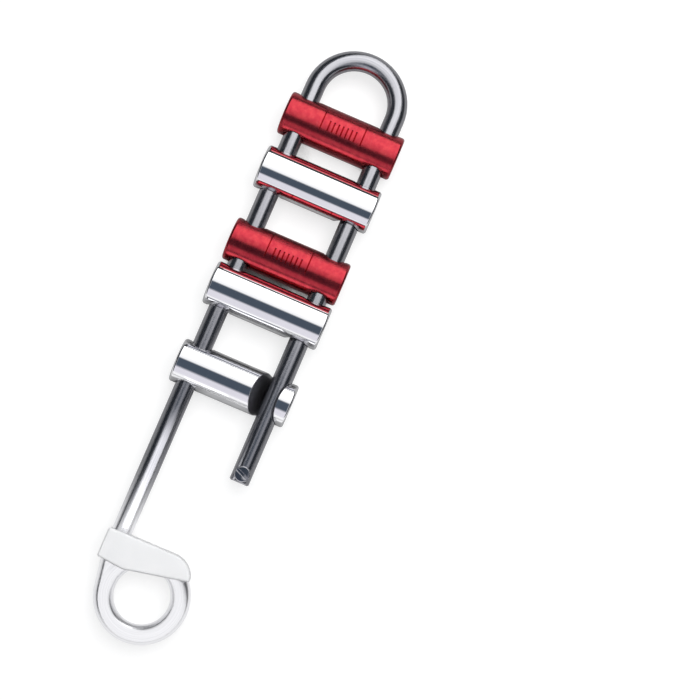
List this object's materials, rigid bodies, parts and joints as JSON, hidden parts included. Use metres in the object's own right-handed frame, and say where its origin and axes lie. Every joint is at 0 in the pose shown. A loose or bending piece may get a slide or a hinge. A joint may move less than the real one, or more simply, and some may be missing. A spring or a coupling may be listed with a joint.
{
  "type": "brake bar rack descender",
  "caption": "Rope descender: a bent steel rod with an arch, a long leg ending in a closed eye and a short free leg, carrying round aluminium brake bars that slide or swing open.",
  "frame": {"origin": "centre of the attachment eye, in the plane of the bent rod", "axes": "+X from the long leg to the short leg, +Y from the eye to the arch, +Z out of the front, up from the table that the rack lies on"},
  "size_m": [0.0544, 0.2831, 0.0226],
  "materials": {
    "polished_steel": "polished stainless rod",
    "screw_steel": "turned stainless",
    "clear_plastic": "milky translucent moulding",
    "red_aluminium": "satin red anodised",
    "bright_aluminium": "mirror polished"
  },
  "bodies": {
    "frame_body": {"frame": "polished_steel", "tip_screw": "screw_steel", "eye_keeper": "clear_plastic"},
    "bar_1_body": {"bar_1": "red_aluminium"},
    "bar_2_body": {"bar_2": "bright_aluminium"},
    "bar_3_body": {"bar_3": "red_aluminium"},
    "bar_4_body": {"bar_4": "bright_aluminium"},
    "bar_5_body": {"bar_5": "bright_aluminium"}
  },
  "joints": [
    {"name": "bar_1_slide", "type": "slide", "parent": "frame_body", "child": "bar_1_body", "axis": [0, 1, 0], "range_m": [-0.0068, 0.0055]},
    {"name": "bar_2_swing", "type": "hinge", "parent": "frame_body", "child": "bar_2_body", "pos_m": [-0.01925, 0.1951, 0], "axis": [0, -1, 0], "range_deg": [0, 180]},
    {"name": "bar_3_slide", "type": "slide", "parent": "frame_body", "child": "bar_3_body", "axis": [0, 1, 0], "range_m": [-0.0015, 0.0146]},
    {"name": "bar_4_swing", "type": "hinge", "parent": "frame_body", "child": "bar_4_body", "pos_m": [-0.01925, 0.1384, 0], "axis": [0, -1, 0], "range_deg": [0, 180]},
    {"name": "bar_5_swing", "type": "hinge", "parent": "frame_body", "child": "bar_5_body", "pos_m": [-0.01925, 0.1012, 0], "axis": [0, 1, 0], "range_deg": [0, 180]}
  ]
}
